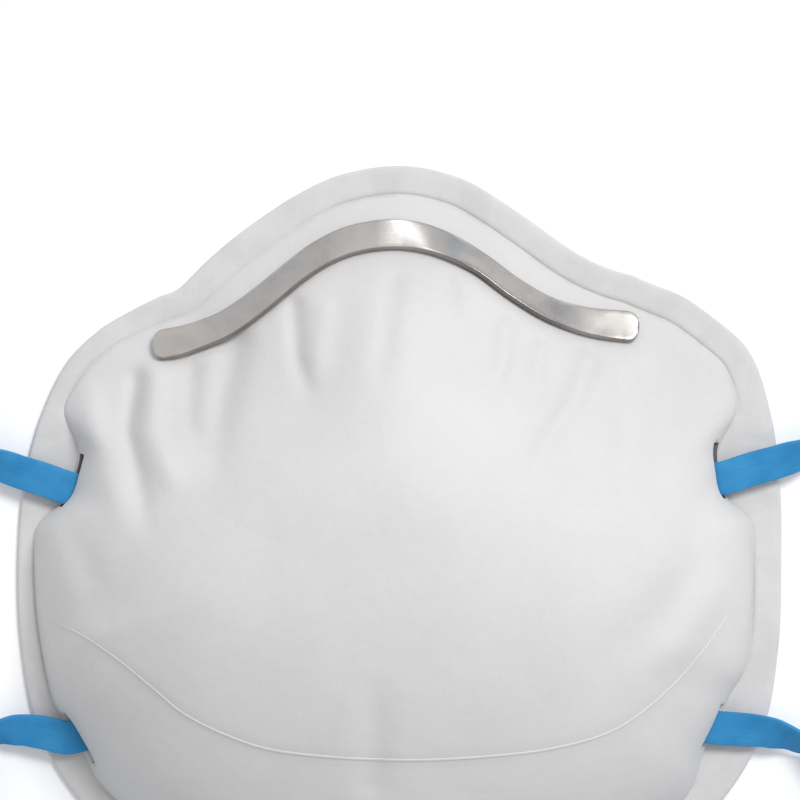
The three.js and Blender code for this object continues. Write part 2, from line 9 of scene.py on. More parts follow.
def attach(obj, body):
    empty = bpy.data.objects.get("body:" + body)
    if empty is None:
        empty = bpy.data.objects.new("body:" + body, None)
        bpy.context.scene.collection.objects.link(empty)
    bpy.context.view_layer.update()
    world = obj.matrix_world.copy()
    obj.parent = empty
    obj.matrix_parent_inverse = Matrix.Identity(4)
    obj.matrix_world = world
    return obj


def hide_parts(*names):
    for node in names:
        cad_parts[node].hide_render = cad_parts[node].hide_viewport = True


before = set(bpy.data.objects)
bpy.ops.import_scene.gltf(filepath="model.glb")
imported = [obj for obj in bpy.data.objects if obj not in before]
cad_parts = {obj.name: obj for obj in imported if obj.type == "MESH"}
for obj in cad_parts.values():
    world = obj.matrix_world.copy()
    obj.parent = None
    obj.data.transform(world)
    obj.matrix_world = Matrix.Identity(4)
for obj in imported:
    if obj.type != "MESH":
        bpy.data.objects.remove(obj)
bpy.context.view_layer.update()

MM = 0.001

# ---- rim and cup: millimetres on the mask's own plan, and degrees round it ----------------------

RIM_ROWS = [  # angle above the X axis, reach of the right side, reach of the left side
    (-90, 69.5, 69.5),
    (-70, 70.5, 70.3),
    (-55, 72.8, 72.4),
    (-42, 74.5, 74.0),
    (-29, 73.8, 73.3),
    (-16, 70.5, 70.2),
    (-4, 68.4, 68.2),
    (8, 68.6, 67.6),
    (18, 69.8, 67.4),
    (28, 70.6, 66.8),
    (35, 68.2, 64.7),
    (40, 66.3, 62.4),
    (45, 63.7, 60.4),
    (48, 62.4, 59.1),
    (51, 60.9, 59.2),
    (55, 59.8, 59.8),
    (60, 59.6, 60.6),
    (66, 60.6, 61.7),
    (72, 62.2, 63.2),
    (80, 64.7, 65.1),
    (90, 66.0, 66.0),
]
RIM_COUNT = 2000         # points of the rim from which its box is worked out
FLANGE_WIDTH = 5.2
FLANGE_NARROW = dict(at=174, spread=34, by=2.5)  # where the left side's flange is narrower
FLANGE_THICK = 1.2
EDGE_ROUND = 0.55        # radius of the flange's edge
FOOT_COUNT = 1440        # directions in which the foot of the cup's wall is worked out
FOOT_TURN = 0.01         # radians to either side that give the rim's direction there
WALL = 1.8               # thickness of the felt

CUP_HEIGHT = 42.0
CROWN_START = 2.2        # how soon the crown sets in, inward from the foot
CROWN_EVEN = 40          # how far to either side the crown's outline is evened out
CROWN_EVERY = 4          # in steps of this many degrees
CROWN_COUNT = 180        # directions in which that outline is worked out
SIDES = {  # how the cup rises: height and run of its wall, fullness and power of its crown
    "nose": dict(wall=1.5, run=2.0, bulge=0.12, power=2.0),
    "cheek": dict(wall=14.0, run=4.2, bulge=1.0, power=2.2),
    "chin": dict(wall=12.0, run=4.5, bulge=0.9, power=2.4),
}
NOSE_FROM, NOSE_FULL = -18.0, 33.0   # y where the nose side's rise sets in, and where it is full
CHIN_FROM, CHIN_FULL = 6.0, -54.0
BRIDGE = dict(y=40.0, height=7.0, half_width=14.0, half_length=18.0, start=8.0)
SLOPE_STEP = 0.4         # to either side of a point, for the slope there

FOLDS = [  # soft folds of the cup: the line each one follows, its half width and its height
    dict(name="left rim lobe", route=((-56.0, 24.2), (-53.6, 16.2), (-50.6, 8), (-47.2, 0)),
         half=3.2, height=2.3),
    dict(name="left rim groove", route=((-46.8, 28), (-48, 18.5), (-45.6, 10), (-43.4, 0.5)),
         half=1.7, height=-1.5),
    dict(name="left outer lobe", route=((-43.4, 28), (-43.8, 19), (-41, 12.5), (-38, 7)),
         half=3.0, height=2.4),
    dict(name="left outer groove", route=((-36.5, 29), (-36.8, 21), (-34.5, 13)),
         half=2.0, height=-1.0),
    dict(name="left inner groove", route=((-28.8, 34), (-30.9, 24), (-32, 17), (-32.3, 8)),
         half=3.0, height=-2.0),
    dict(name="left crease", route=((-18.6, 41), (-18, 32), (-15.5, 24)), half=1.7, height=-1.4),
    dict(name="left bridge ridge", route=((-13.6, 40), (-15, 26)), half=2.4, height=1.0),
    dict(name="middle groove", route=((-1, 45), (-2.3, 35), (-4, 26)), half=2.2, height=-1.0),
    dict(name="bridge line", route=((8.7, 45), (9.3, 38)), half=1.8, height=-0.7),
    dict(name="right inner groove", route=((19, 37), (18, 30), (15, 25)), half=1.8, height=-1.5),
    dict(name="right middle groove", route=((25, 33), (23.5, 26)), half=1.8, height=-1.3),
    dict(name="right outer groove", route=((33.5, 31), (30.5, 24), (25, 16), (21, 7)),
         half=2.0, height=-1.6),
    dict(name="right cheek dent", route=((32, 17), (30, 2)), half=6, height=-1.2),
    dict(name="right outer lobe", route=((40, 28), (41, 18), (39.5, 7)), half=3.8, height=2.2),
    dict(name="right seam dent", route=((53, 4), (51.5, -6), (45, -14.5), (37, -21)),
         half=4.2, height=-1.8),
    dict(name="right seam lobe", route=((55.5, -9), (49.5, -17.5), (43.5, -24)),
         half=3.6, height=1.5),
    dict(name="left rim dent", route=((-58, 1), (-52, -11)), half=3.2, height=-1.1),
    dict(name="left cheek dent", route=((-60, -4), (-55, -18)), half=12, height=-2.8),
    dict(name="left cheek swell", route=((-36, -24), (-33, -14), (-26, 2)), half=13, height=1.6),
    dict(name="chin dent", route=((-4.8, -42), (-4.4, -34), (-3.4, -22)), half=3.0, height=-1.1),
]
FOLD_START = 5.0         # how soon the folds set in, inward from the foot
FOLD_FADE = (-0.1, 0.45)  # share of a fold still to come: where it has died away, where it is full

LINE_DEPTH = 0.4         # of the pressed line where the flange meets the wall
LINE_ROWS = [(0.55, 0.0), (0.3, 0.45), (0.12, 1.0), (-0.02, 0.8)]  # out from the foot, how deep
LINE_FAINT = dict(at=125, spread=24, by=0.85)    # where it is faint, at the upper left
LINE_AT_SLITS = dict(spread=1.8, by=0.9)         # and round each slit, in spreads of its pad

# ---- seam, slits, nose clip and straps ----------------------------------------------------------

SEAM_ROWS = [
    (-62.1, -14.6), (-55.4, -17.0), (-49.1, -20.8), (-42.4, -26.0), (-37.3, -30.1),
    (-29.4, -34.0), (-22.5, -36.2), (-10.2, -37.6), (1.9, -38.0), (14.0, -37.5),
    (27.0, -36.1), (37.7, -33.0), (46.5, -26.7), (53.0, -19.8), (57.7, -13.6),
]
SEAM_STEP = 0.5          # how much lower the felt lies below the seam than above it
SEAM_SOFT = 2.4          # width of that step
SEAM_WIDTH = 0.5
SEAM_THICK = 0.26
SEAM_SPACING = 0.5
SEAM_FADES = [(-50, -26, 0.7), (57, 48, 0.5)]  # x where it is thinnest, x where full, width lost

SLIT_HEIGHT = 1.9
SLIT_MIDDLE_Z = 3.35
SLITS = [  # middle, way it faces, length, and the pad that sets the cup back round it
    dict(name="upper right", x=56.8, y=11.6, turn=6, length=10, pad=5.3, pad_at=11.5, spread=7.3),
    dict(name="upper left", x=-57.9, y=9.8, turn=167, length=10, pad=5.8, pad_at=169, spread=7.5),
    dict(name="lower right", x=55.6, y=-34.0, turn=-12, length=8.6, pad=2.8, pad_at=-31, spread=8),
    dict(name="lower left", x=-58.4, y=-36.3, turn=194, length=9.8, pad=1.2, pad_at=212.5,
         spread=4.6),
]
UPPER_SLITS, LOWER_SLITS = SLITS[:2], SLITS[2:]
CUTTER_REACH = 6.6       # half length of a slit's cutter, through the wall
CUT_SLACK = 0.02         # how far a face may lie past the cutter's sides and still be its own

CLIP_ROWS = [  # x, y, how much higher the felt lies inside the clip than outside it
    (-43.4, 33.4, 0.0), (-38.0, 34.3, 0.0), (-31.0, 36.8, 0.3), (-26.4, 39.7, 0.6),
    (-22.0, 43.1, 0.8), (-17.5, 46.8, 0.8), (-13.2, 49.8, 0.0), (-8.0, 52.1, -1.2),
    (0.0, 53.1, -1.8), (6.5, 51.6, 0.0), (13.4, 48.0, 3.0), (20.0, 43.2, 3.2),
    (26.5, 39.5, 2.4), (33.0, 37.6, 0.8), (42.4, 36.7, 0.0),
]
CLIP_PRESS = (4.0, 22.0)  # how far either side of the clip that step sets in, and is gone again
CLIP_WIDTH = 5.8
CLIP_THICK = 0.9
CLIP_EDGE = 0.2          # radius of its long edges
CLIP_END_ROUND = 2.2
CLIP_CLEAR = 0.6         # height of its underside over the cup without its folds
CLIP_SPACING = 0.35

STRAP_WIDTH = 6.0
STRAP_THICK = 0.8
STRAP_EDGE = 0.22
STRAP_SPACING = 0.8
UPPER_ROUTE = [  # x, y, z, lean of the band from flat
    (57.6, 10.3, 3.3, 0), (62.7, 11.9, 3.5, 3), (68.0, 13.4, 3.7, 12), (73.4, 15.4, 3.8, 40),
    (78.4, 19.0, 3.7, 76), (81.6, 25.4, 3.6, 90), (83.0, 36.0, 3.5, 90), (83.2, 52.0, 3.4, 90),
    (82.6, 70.0, 3.4, 90), (80.8, 88.0, 3.4, 90), (75.0, 102.6, 3.4, 90),
    (60.0, 111.8, 3.4, 90), (38.0, 115.4, 3.4, 90), (14.0, 116.6, 3.4, 90),
    (-10.0, 116.4, 3.4, 90), (-36.0, 115.0, 3.4, 90), (-58.6, 111.2, 3.4, 90),
    (-74.0, 102.0, 3.4, 90), (-80.2, 87.0, 3.4, 90), (-82.2, 68.0, 3.4, 90),
    (-83.0, 50.0, 3.4, 90), (-83.0, 34.0, 3.5, 90), (-81.6, 24.4, 3.6, 90),
    (-78.6, 18.0, 3.7, 76), (-73.8, 14.0, 3.8, 40), (-68.6, 11.8, 3.7, 12),
    (-63.4, 10.1, 3.5, 3), (-58.8, 8.5, 3.3, 0),
]
LOWER_ROUTE = [
    (55.6, -34.0, 3.35, 0), (60.6, -34.4, 3.5, 6), (65.6, -34.9, 3.8, 24), (70.4, -36.3, 4.0, 50),
    (74.3, -39.1, 3.9, 74), (76.9, -43.6, 3.6, 88), (78.0, -50.0, 3.4, 90),
    (77.9, -60.0, 3.4, 90), (74.6, -70.6, 3.4, 90), (66.0, -80.0, 3.4, 90),
    (52.0, -87.0, 3.4, 90), (28.0, -91.6, 3.4, 90), (8.0, -92.6, 3.4, 90),
    (-12.0, -92.4, 3.4, 90), (-32.0, -90.8, 3.4, 90), (-52.0, -86.6, 3.4, 90),
    (-66.0, -79.6, 3.4, 90), (-74.8, -70.2, 3.4, 90), (-78.2, -59.6, 3.4, 90),
    (-78.6, -49.6, 3.4, 90), (-77.9, -42.4, 3.6, 88), (-75.6, -37.6, 3.9, 74),
    (-72.0, -35.2, 4.0, 50), (-67.6, -34.5, 3.8, 24), (-63.2, -35.0, 3.5, 6),
    (-59.0, -35.9, 3.35, 0),
]
TAIL_ROWS = [(4.2, -0.1), (6.6, 0.6), (8.6, 2.4)]  # how far inward of the slit, how far above it

# ---- finenesses of the meshes -------------------------------------------------------------------

AROUND = 420             # points of a ring of the shell
NOSE_DENSE = 0.3         # how much closer they lie together towards the nose
OUTER_RINGS = 170
INNER_RINGS = 30
INNER_LAST = 4           # the one next to the middle, on the inside
RING_SHARES = [(0.35, 2.6), (0.65, 1.5)]  # how the rings are spread: parts and their powers
UNDER_RINGS = (0.3, 0.65)                 # places of the rings on the flange's underside
EDGE_RINGS = (-90, -45, 0, 45, 90)        # their angles round its edge
TOP_RINGS = (0.25, 0.5, 0.75)             # and their places on its top
CORNER_STEPS = 3         # of a band's rounded corner
STRAP_CUTS, SEAM_CUTS, CLIP_CUTS = 6, 2, 8  # parts that the flat side of each band is cut into

# ---- camera and light, in metres ----------------------------------------------------------------

VIEW_DISTANCE = 1.0              # above the surface, straight over the mask
VIEW_WIDTH = 0.14286             # width of the view on the surface
VIEW_MIDDLE = (0.18, 24.2)       # middle of the view on the mask's own plan, in millimetres
SENSOR_WIDTH = 36.0              # millimetres
VIEW_CLIP = (0.01, 20.0)

CUP_MIDDLE = (0, 0, 0.02)
NOSE = (0.0, 0.045, 0.01)
LIGHTS = [
    dict(name="key_upper_right", place=(0.55, 0.75, 1.25), size=(0.6, 0.6), power=15.0,
         target=CUP_MIDDLE),
    dict(name="strip_above_nose", place=(0.0, 1.15, 0.52), size=(0.16, 0.5), power=0.4,
         target=NOSE),
    dict(name="strip_right_of_nose", place=(0.62, 0.98, 0.50), size=(0.16, 0.5), power=0.2,
         target=NOSE),
]
WORLD_STRENGTH = 0.66
FLOOR_HALF = 3
FLOOR_DROP = 0.0002


# ---- the cup's surface --------------------------------------------------------------------------

def catmull_rom(a, b, c, d, t):
    return 0.5 * (2 * b + (c - a) * t + (2 * a - 5 * b + 4 * c - d) * t * t
                  + (3 * b - a - 3 * c + d) * t * t * t)


def rim_reach(angle):
    """The rim's reach from the middle, for an array of angles in radians."""
    angle = np.asarray(angle, float)
    at = np.degrees(np.arcsin(np.clip(np.sin(angle), -1, 1)))
    rows = np.array(RIM_ROWS, float)
    last = len(rows) - 1
    i = np.clip(np.searchsorted(rows[:, 0], at, side="right") - 1, 0, last - 1)
    column = np.where(np.cos(angle) >= 0, 1, 2)

    def value(k):
        k = np.where(k < 0, 1, np.where(k > last, last - 1, k))
        return rows[k, column]

    t = (at - rows[i, 0]) / (rows[i + 1, 0] - rows[i, 0])
    return catmull_rom(value(i - 1), value(i), value(i + 1), value(i + 2), t)


def rim_point(angle):
    reach = rim_reach(angle)
    return np.stack([reach * np.cos(angle), reach * np.sin(angle)], -1)


def turn_between(angle, place):
    """Degrees from a place on the rim round to an angle, from -180 to 180."""
    return (np.degrees(angle) - place + 180) % 360 - 180


def foot_table():
    """The foot's angles and reaches: the rim moved in by the flange's width."""
    angle = np.linspace(0, 2 * np.pi, FOOT_COUNT, endpoint=False)
    along = rim_point(angle + FOOT_TURN) - rim_point(angle - FOOT_TURN)
    along /= np.linalg.norm(along, axis=1)[:, None]
    away = (np.degrees(angle) - FLANGE_NARROW["at"]) / FLANGE_NARROW["spread"]
    width = FLANGE_WIDTH - FLANGE_NARROW["by"] * np.exp(-(away ** 2))
    foot = rim_point(angle) + width[:, None] * np.stack([-along[:, 1], along[:, 0]], -1)
    at = np.arctan2(foot[:, 1], foot[:, 0])
    order = np.argsort(at)
    return at[order], np.linalg.norm(foot, axis=1)[order]


FOOT_AT, FOOT_REACH = foot_table()


def plain_reach(angle):
    """The foot's reach, without the pads at the slits."""
    return np.interp(angle, FOOT_AT, FOOT_REACH, period=2 * np.pi)


def foot_reach(angle):
    depth = 0.0
    for slit in SLITS:
        away = turn_between(angle, slit["pad_at"])
        depth = depth + slit["pad"] * np.exp(-((away / slit["spread"]) ** 4))
    return plain_reach(angle) - depth


def crown_table():
    """The crown's angles and reaches: the foot's, evened out."""
    angle = np.linspace(0, 2 * np.pi, CROWN_COUNT, endpoint=False)
    away = np.arange(-CROWN_EVEN, CROWN_EVEN + 1, CROWN_EVERY)
    weight = 1 + np.cos(np.pi * away / CROWN_EVEN)
    reach = sum(w * plain_reach(angle + math.radians(a)) for w, a in zip(weight, away))
    return angle, reach / weight.sum()


CROWN_AT, CROWN_REACH = crown_table()


def crown_reach(angle):
    return np.interp(angle, CROWN_AT, CROWN_REACH, period=2 * np.pi)


def smoothstep(value, low, high):
    t = np.clip((value - low) / (high - low), 0, 1)
    return t * t * (3 - 2 * t)


def smootherstep(value, low, high):
    t = np.clip((value - low) / (high - low), 0, 1)
    return t * t * t * (t * (6 * t - 15) + 10)


def side_value(name, y):
    """One of the values in SIDES, blended from side to side up the plan."""
    nose = smootherstep(y, NOSE_FROM, NOSE_FULL)
    chin = smootherstep(y, CHIN_FROM, CHIN_FULL)
    return (SIDES["nose"][name] * nose + SIDES["chin"][name] * chin
            + SIDES["cheek"][name] * (1 - nose - chin))


def smooth_rows(at, places, values):
    """Values between rows, on a curve through all of them, level past both ends."""
    slope = np.zeros(len(values))
    slope[1:-1] = (values[2:] - values[:-2]) / (places[2:] - places[:-2])
    i = np.clip(np.searchsorted(places, at, side="right") - 1, 0, len(places) - 2)
    span = places[i + 1] - places[i]
    t = np.clip((at - places[i]) / span, 0, 1)
    return ((1 + 2 * t) * (1 - t) ** 2 * values[i] + t * (1 - t) ** 2 * span * slope[i]
            + t * t * (3 - 2 * t) * values[i + 1] + t * t * (t - 1) * span * slope[i + 1])


def nearest(x, y, route):
    """How far points lie from a route of straight stretches, and where along it that is."""
    best, place = np.full(np.shape(x), np.inf), np.zeros(np.shape(x))
    for i, ((x0, y0), (x1, y1)) in enumerate(zip(route, route[1:])):
        dx, dy = x1 - x0, y1 - y0
        held = np.clip(((x - x0) * dx + (y - y0) * dy) / (dx * dx + dy * dy), 0, 1)
        away = np.hypot(x - x0 - held * dx, y - y0 - held * dy)
        closer = away < best
        best = np.where(closer, away, best)
        place = np.where(closer, i + held, place)
    return best, place


CLIP_X, CLIP_Y, CLIP_STEP = np.array(CLIP_ROWS).T
SEAM_X, SEAM_Y = np.array(SEAM_ROWS).T


def clip_press(x, y):
    """The step in the felt under the clip, which is gone again further in."""
    here, before, after = (smooth_rows(x + move, CLIP_X, CLIP_Y) for move in (0, -1, 1))
    inward = (here - y) / np.hypot(1, (after - before) / 2)
    near, far = CLIP_PRESS
    return (smooth_rows(x, CLIP_X, CLIP_STEP) * smoothstep(inward, -near, near)
            * (1 - smoothstep(inward, near, far)))


def inside_foot(x, y):
    """How far inward of the foot points lie."""
    return np.maximum(0, foot_reach(np.arctan2(y, x)) - np.hypot(x, y))


def smooth_height(x, y):
    """The height of the cup's outer face over the plan, without folds."""
    inward = inside_foot(x, y)
    share = np.minimum(1, np.hypot(x, y) / crown_reach(np.arctan2(y, x)))
    wall = side_value("wall", y)
    rise = wall * (1 - np.exp(-inward / side_value("run", y)))
    dome = 1 - share ** side_value("power", y)
    swell = np.cos(share * np.pi / 2) ** 2
    bulge = side_value("bulge", y)
    crown = (CUP_HEIGHT - FLANGE_THICK - wall) * (bulge * dome + (1 - bulge) * swell)
    bridge = (BRIDGE["height"] * np.exp(-((x / BRIDGE["half_width"]) ** 2))
              * np.exp(-(((y - BRIDGE["y"]) / BRIDGE["half_length"]) ** 2))
              * (1 - np.exp(-inward / BRIDGE["start"])))
    fade = 1 - np.exp(-inward / FOLD_START)
    return (FLANGE_THICK + rise + crown * (1 - np.exp(-inward / CROWN_START)) + bridge
            + clip_press(x, y) * fade)


def cup_height(x, y):
    """The height of the cup's outer face over the plan, with its folds and the seam's step."""
    fade = 1 - np.exp(-inside_foot(x, y) / FOLD_START)
    height = smooth_height(x, y)
    for fold in FOLDS:
        away, place = nearest(x, y, fold["route"])
        left = 1 - place / (len(fold["route"]) - 1)
        shape = np.exp(-((away / fold["half"]) ** 2)) * smoothstep(left, *FOLD_FADE)
        height = height + fold["height"] * shape * fade
    below = 1 / (1 + np.exp((y - smooth_rows(x, SEAM_X, SEAM_Y)) / (SEAM_SOFT / 4)))
    return height - SEAM_STEP * below * fade


def unit(vectors):
    return vectors / np.linalg.norm(vectors, axis=-1, keepdims=True)


def normals(height, x, y):
    """Directions out from a surface that is given by its height over the plan."""
    rise_x = height(x + SLOPE_STEP, y) - height(x - SLOPE_STEP, y)
    rise_y = height(x, y + SLOPE_STEP) - height(x, y - SLOPE_STEP)
    run = 2 * SLOPE_STEP
    return unit(np.stack([-rise_x / run, -rise_y / run, np.ones_like(rise_x)], -1))


def plan_shift():
    """The plan's own middle seen from the row's origin, which is under the middle of the rim."""
    rim = rim_point(np.linspace(0, 2 * np.pi, RIM_COUNT))
    return np.array([*(-(rim.min(0) + rim.max(0)) / 2), 0.0])


SHIFT = plan_shift()


def placed(points):
    """Points of the mask's own plan, in the row's frame and in metres."""
    return (np.asarray(points, float) + SHIFT) * MM


# ---- helpers ------------------------------------------------------------------------------------

def new_object(name, vertices, faces):
    mesh = bpy.data.meshes.new(name)
    mesh.from_pydata([tuple(v) for v in vertices], [], [tuple(f) for f in faces])
    mesh.validate()
    mesh.update()
    obj = bpy.data.objects.new(name, mesh)
    bpy.context.scene.collection.objects.link(obj)
    mesh.shade_smooth()
    return obj


def curve_points(rows, spacing):
    """Points of a smooth curve through rows of numbers, and how many rows along each one is."""
    rows = np.array(rows, float)
    ends = [2 * rows[0] - rows[1], *rows, 2 * rows[-1] - rows[-2]]
    out, places = [], []
    for i in range(1, len(ends) - 2):
        p0, p1, p2, p3 = ends[i - 1:i + 3]
        gap = [np.linalg.norm(b - a) ** 0.5 for a, b in ((p0, p1), (p1, p2), (p2, p3))]
        t0, t1 = 0.0, gap[0]
        t2, t3 = t1 + gap[1], t1 + gap[1] + gap[2]
        steps = max(2, math.ceil(np.linalg.norm(p2 - p1) / spacing))
        last = i == len(ends) - 3
        for t in np.linspace(t1, t2, steps + 1)[: None if last else -1]:
            a1 = (t1 - t) / (t1 - t0) * p0 + (t - t0) / (t1 - t0) * p1
            a2 = (t2 - t) / (t2 - t1) * p1 + (t - t1) / (t2 - t1) * p2
            a3 = (t3 - t) / (t3 - t2) * p2 + (t - t2) / (t3 - t2) * p3
            b1 = (t2 - t) / (t2 - t0) * a1 + (t - t0) / (t2 - t0) * a2
            b2 = (t3 - t) / (t3 - t1) * a2 + (t - t1) / (t3 - t1) * a3
            out.append((t2 - t) / (t2 - t1) * b1 + (t - t1) / (t2 - t1) * b2)
            places.append(i - 1 + (t - t1) / (t2 - t1))
    return np.array(out), np.array(places)


def travelled(points):
    """How far along a line each of its points lies."""
    steps = np.linalg.norm(np.diff(points, axis=0), axis=1)
    return np.concatenate([[0], np.cumsum(steps)])


def band_section(width, thick, cuts, corner):
    """A flat band's section: across and out, counted round, with rounded edges."""
    half_w, half_t = width / 2, thick / 2
    corners = []
    for sx, sy, start in ((1, -1, -90), (1, 1, 0), (-1, 1, 90), (-1, -1, 180)):
        for k in range(CORNER_STEPS + 1):
            a = math.radians(start + 90 * k / CORNER_STEPS)
            corners.append((sx * (half_w - corner) + corner * math.cos(a),
                            sy * (half_t - corner) + corner * math.sin(a)))
    out = []
    for p, q in zip(corners, [*corners[1:], corners[0]]):
        out.append(p)
        flat_side = abs(q[0] - p[0]) > width / 2
        if flat_side:
            out += [(p[0] + (q[0] - p[0]) * k / cuts, p[1]) for k in range(1, cuts)]
    return np.array(out)


def band_object(name, points, across, out, section, widths):
    """A closed band swept along points (metres), with a UV map: metres along and across."""
    section = section * MM
    count = len(section)
    rings = (points[:, None]
             + across[:, None] * (section[None, :, 0] * widths[:, None])[..., None]
             + out[:, None] * section[None, :, 1][..., None])
    faces = []
    for i in range(len(points) - 1):
        a, b = i * count, (i + 1) * count
        faces += [(a + k, a + (k + 1) % count, b + (k + 1) % count, b + k) for k in range(count)]
    last = (len(points) - 1) * count
    faces.append(tuple(range(count - 1, -1, -1)))
    faces.append(tuple(range(last, last + count)))
    obj = new_object(name, rings.reshape(-1, 3), faces)
    along = travelled(points)
    uv = obj.data.uv_layers.new(name="band")
    for loop in obj.data.loops:
        i, k = divmod(loop.vertex_index, count)
        uv.data[loop.index].uv = (along[i], section[k, 0])
    return obj


# ---- camera -------------------------------------------------------------------------------------

def make_camera():
    """A long lens that looks straight down."""
    data = bpy.data.cameras.new("camera")
    data.sensor_width = SENSOR_WIDTH
    data.lens = data.sensor_width * VIEW_DISTANCE / VIEW_WIDTH
    data.clip_start, data.clip_end = VIEW_CLIP
    camera = bpy.data.objects.new("camera", data)
    bpy.context.scene.collection.objects.link(camera)
    x, y, _ = placed((*VIEW_MIDDLE, 0))
    camera.location = (x, y, VIEW_DISTANCE)
    bpy.context.scene.camera = camera


make_camera()


# ---- materials ----------------------------------------------------------------------------------

FELT_TONES = [(0.3, (0.612, 0.604, 0.604)), (0.7, (0.642, 0.634, 0.633))]
FELT_BLOTCHES = [(0.36, (0.93, 0.93, 0.928)), (0.60, (1.0, 1.0, 0.998))]
# painted shade inside the two upper slits, on the faces marked there
FELT_SLIT_SHADE = (0.15, 0.135, 0.13, 1)
FLANGE_TOP = FLANGE_THICK + 0.4  # height under which the felt counts as the flange's
# a little brighter than the felt: a painted highlight along the seam's ridge
SEAM_HIGHLIGHT_TONES = [(0.3, (0.63, 0.622, 0.622)), (0.7, (0.675, 0.668, 0.668))]
METAL_TONES = [(0.32, (0.73, 0.692, 0.662)), (0.62, (0.84, 0.81, 0.785))]
METAL_EDGE_SHADE = [(0.91, (1.0, 1.0, 1.0)), (0.97, (0.50, 0.48, 0.47))]  # painted shade on the clip's long edges, by share of the half width
WORN_SPOT = (27.6, 39.4, 7.0)    # on the clip's right shoulder, on the mask's own plan
WORN_REACH = 6.0         # how far the wear reaches, in millimetres
WORN_TONES = [(0.55, (0.78, 0.76, 0.75)), (1.0, (1.0, 1.0, 1.0))]
PAINTED_REFLECTION_HALF = 45.0         # half the width over which the clip's painted reflection is counted
PAINTED_REFLECTION_ROWS = [  # share of that width from left to right, how bright the painted reflection and shade make the metal there
    (0.05, 0.88), (0.15, 0.75), (0.36, 0.73), (0.42, 0.84), (0.455, 0.71), (0.50, 1.0),
    (0.56, 0.79), (0.65, 0.53), (0.75, 0.54), (0.81, 0.60), (0.86, 0.90), (0.95, 0.70),
]
ELASTIC_TONES = [(0.3, (0.026, 0.222, 0.485)), (0.7, (0.040, 0.272, 0.560))]
FLOOR_COLOUR = (0.96, 0.96, 0.96, 1)
MIX_A, MIX_B, MIX_RESULT = 6, 7, 2   # the colour sockets of a Mix node


def greys(*rows):
    """Stops of a ramp of greys, from rows of place and brightness."""
    return [(place, (grey, grey, grey)) for place, grey in rows]


class Nodes:
    """A short way to wire a material's nodes, with _ for the spaces in a socket's name."""

    def __init__(self, name):
        self.material = bpy.data.materials.new(name)
        self.material.use_nodes = True
        self.tree = self.material.node_tree
        self.shader = self.tree.nodes["Principled BSDF"]

    def add(self, kind, **inputs):
        node = self.tree.nodes.new(kind)
        for key, value in inputs.items():
            if key.startswith("set_"):
                setattr(node, key[4:], value)
            else:
                self.link(node.inputs[key.replace("_", " ")], value)
        return node

    def link(self, socket, value):
        if hasattr(value, "is_output"):
            self.tree.links.new(value, socket)
        else:
            socket.default_value = value

    def finish(self, **inputs):
        for key, value in inputs.items():
            self.link(self.shader.inputs[key.replace("_", " ")], value)
        return self.material

    def where(self):
        return self.add("ShaderNodeTexCoord").outputs["Object"]

    def band(self):
        return self.add("ShaderNodeUVMap", set_uv_map="band").outputs["UV"]

    def part(self, vector, axis):
        return self.add("ShaderNodeSeparateXYZ", Vector=vector).outputs[axis]

    def noise(self, vector, scale, detail=3.0, roughness=0.5, distortion=0.0):
        return self.add("ShaderNodeTexNoise", Vector=vector, Scale=scale, Detail=detail,
                        Roughness=roughness, Distortion=distortion).outputs["Fac"]

    def streaks(self, vector, scales, **looks):
        """Noise that is stretched along the axes with the smaller scales."""
        mapping = self.add("ShaderNodeMapping", Vector=vector, Scale=scales)
        return self.noise(mapping.outputs["Vector"], 1.0, **looks)

    def ramp(self, value, stops):
        node = self.add("ShaderNodeValToRGB", Fac=value)
        ramp = node.color_ramp
        while len(ramp.elements) < len(stops):
            ramp.elements.new(0.5)
        for element, (place, colour) in zip(ramp.elements, stops):
            element.position = place
            element.color = (*colour, 1.0)
        return node.outputs["Color"]

    def math(self, operation, a, b=0.0):
        node = self.add("ShaderNodeMath", set_operation=operation)
        self.link(node.inputs[0], a)
        self.link(node.inputs[1], b)
        return node.outputs[0]

    def mix(self, share, a, b, blend="MIX"):
        node = self.add("ShaderNodeMix", set_data_type="RGBA", set_blend_type=blend)
        self.link(node.inputs["Factor"], share)
        self.link(node.inputs[MIX_A], a)
        self.link(node.inputs[MIX_B], b)
        return node.outputs[MIX_RESULT]

    def multiply(self, a, b):
        return self.mix(1.0, a, b, "MULTIPLY")

    def distance(self, vector, place):
        node = self.add("ShaderNodeVectorMath", set_operation="DISTANCE")
        self.link(node.inputs[0], vector)
        self.link(node.inputs[1], place)
        return node.outputs["Value"]

    def bump(self, height, depth, strength, **under):
        return self.add("ShaderNodeBump", Height=height, Distance=depth, Strength=strength,
                        **under).outputs["Normal"]


